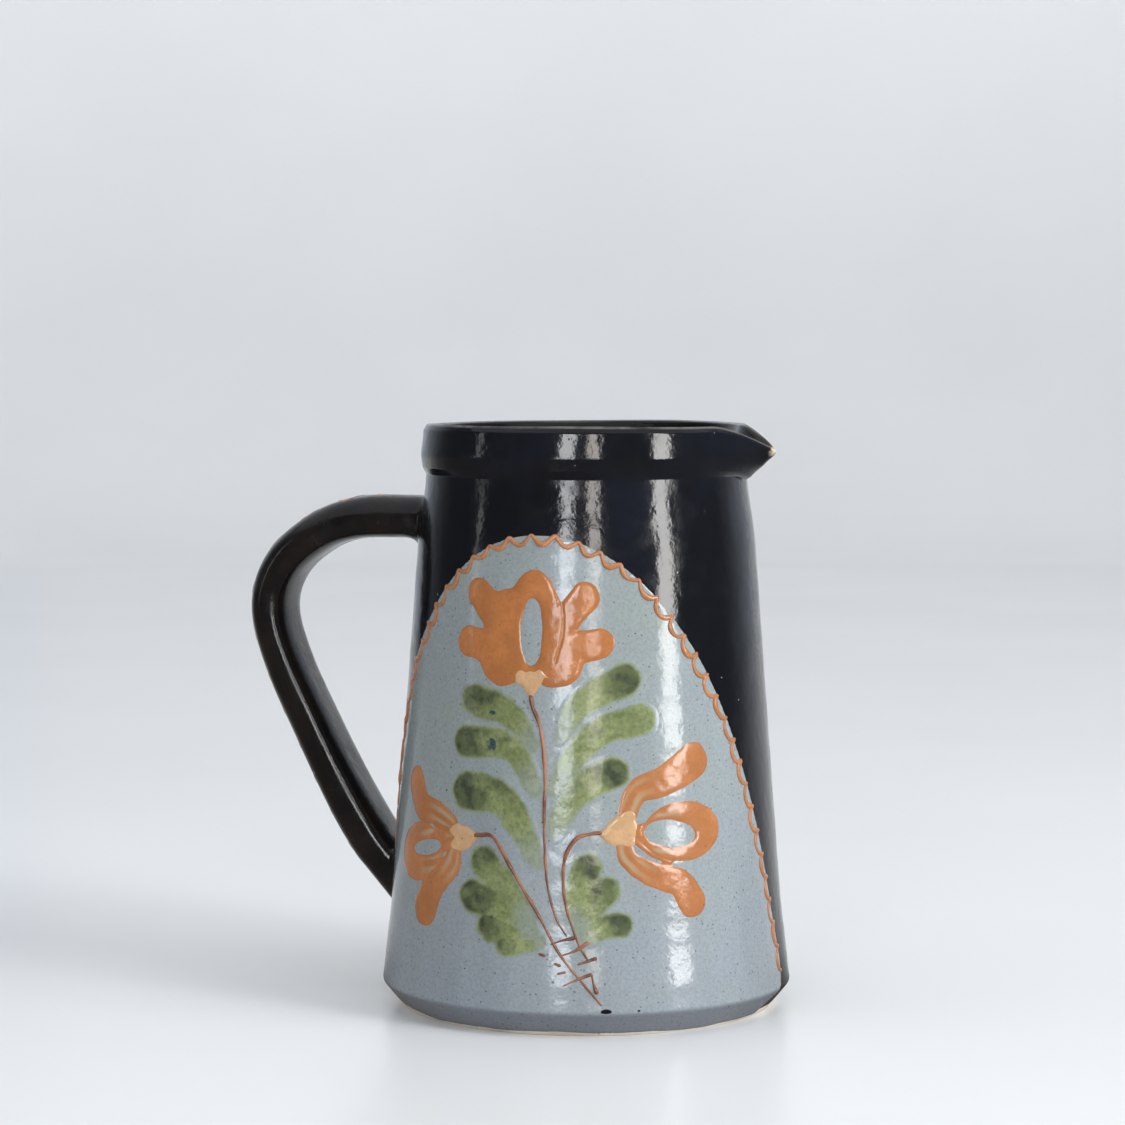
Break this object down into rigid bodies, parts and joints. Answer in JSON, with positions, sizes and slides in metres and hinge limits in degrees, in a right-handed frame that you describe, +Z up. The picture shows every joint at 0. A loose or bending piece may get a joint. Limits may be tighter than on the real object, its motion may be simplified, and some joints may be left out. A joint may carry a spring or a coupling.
{
  "type": "ceramic pitcher",
  "caption": "Conical stoneware pitcher with rim collar, pinched pouring lip, pulled strap handle and a slip-trailed flower spray on a pale arched panel.",
  "frame": {"origin": "centre of the foot ring, on the resting plane", "axes": "+Z up along the thrown axis, +X towards the pouring lip with the handle at -X, -Y towards the decorated front"},
  "size_m": [0.1655, 0.12, 0.17],
  "materials": {
    "dark_glaze": "gloss",
    "pale_glaze": "gloss",
    "bare_clay": "matte",
    "orange_slip": "gloss",
    "cream_slip": "gloss",
    "brown_slip": "gloss",
    "green_glaze": "gloss"
  },
  "bodies": {
    "root": {"turned_foot": "bare_clay", "body_wall": "dark_glaze", "rim_collar": "dark_glaze", "pouring_lip": "dark_glaze", "handle": "dark_glaze", "handle_upper_joint": "dark_glaze", "handle_lower_joint": "dark_glaze", "handle_trail": "orange_slip", "pale_panel": "pale_glaze", "scalloped_border": "orange_slip", "crown_bloom": "orange_slip", "crown_calyx": "cream_slip", "left_bloom": "orange_slip", "left_calyx": "cream_slip", "right_bloom": "orange_slip", "right_calyx": "cream_slip", "main_stem": "brown_slip", "left_stem": "brown_slip", "right_stem": "brown_slip", "upper_left_leaves": "green_glaze", "upper_right_leaves": "green_glaze", "lower_left_leaves": "green_glaze", "lower_right_leaves": "green_glaze", "stem_tie": "brown_slip"}
  },
  "joints": []
}
